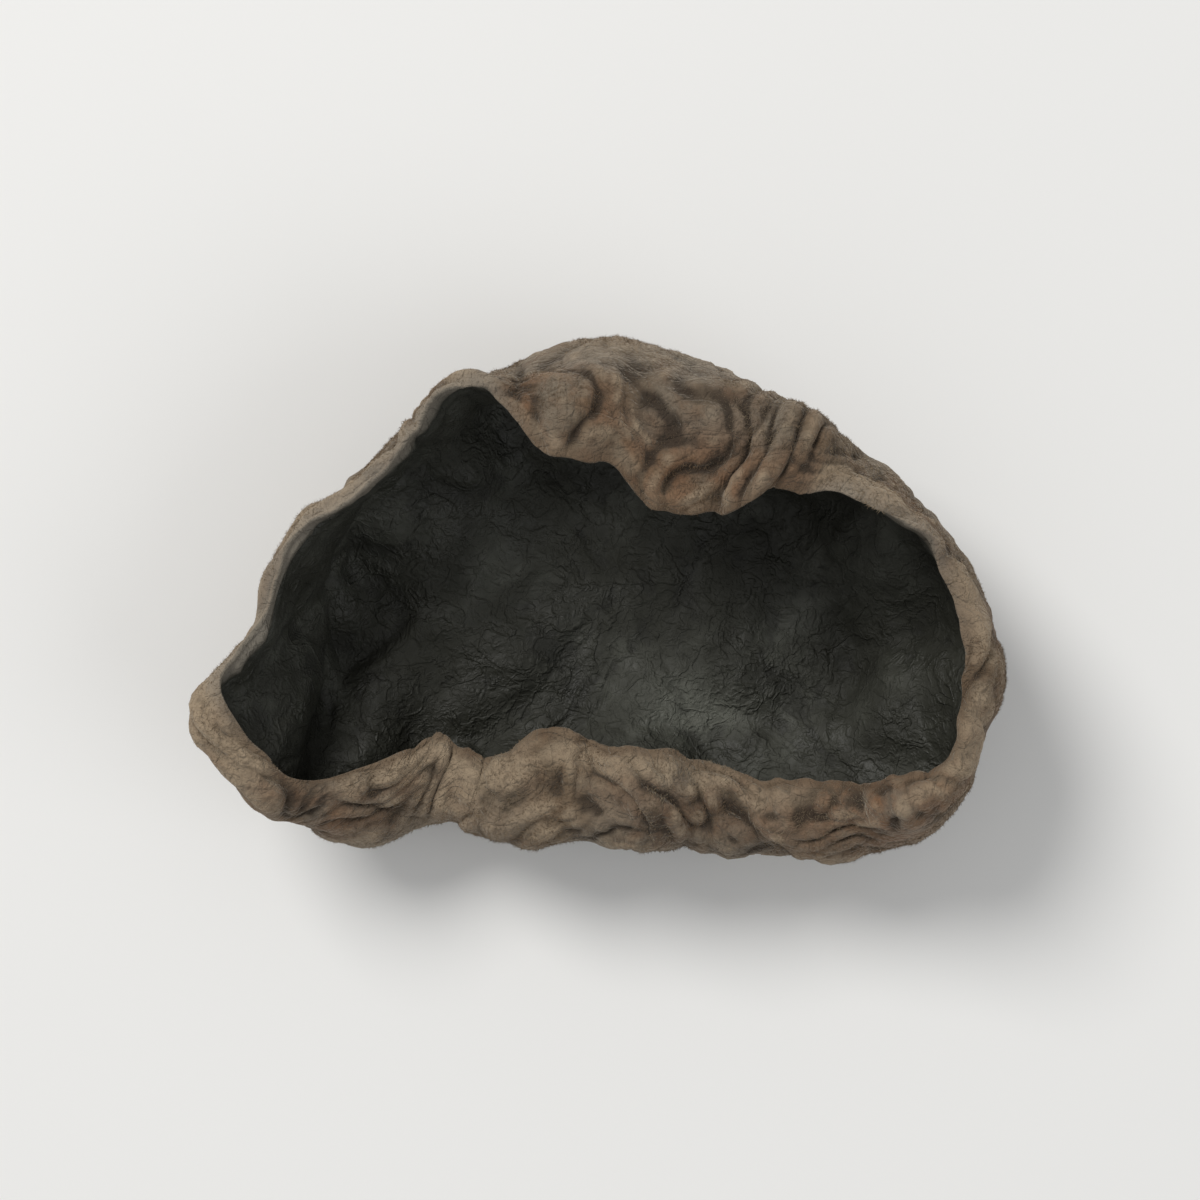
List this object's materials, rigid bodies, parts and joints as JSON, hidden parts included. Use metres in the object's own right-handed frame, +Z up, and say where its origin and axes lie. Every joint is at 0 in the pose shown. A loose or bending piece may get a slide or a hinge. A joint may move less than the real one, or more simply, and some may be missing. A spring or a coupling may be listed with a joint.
{
  "type": "dried wood ear mushroom",
  "caption": "Whole dried wood ear mushroom: a thin shrivelled cup whose margin is curled in along the front, thin and upright at the left, and folded over the mouth as a tongue at the back.",
  "frame": {"origin": "on the surface that the ear lies on, under the centre of its bounding box", "axes": "+Z up, out of the cup's mouth; +X along the ear's long side; +Y from the front lip to the tongue at the back"},
  "size_m": [0.022, 0.0144, 0.0078],
  "materials": {
    "dried_flesh": "matt: velvety grey-brown on the outside and the rolled margin, near-black and faintly satin on the inside"
  },
  "bodies": {
    "root": {"wood_ear": "dried_flesh"}
  },
  "joints": []
}
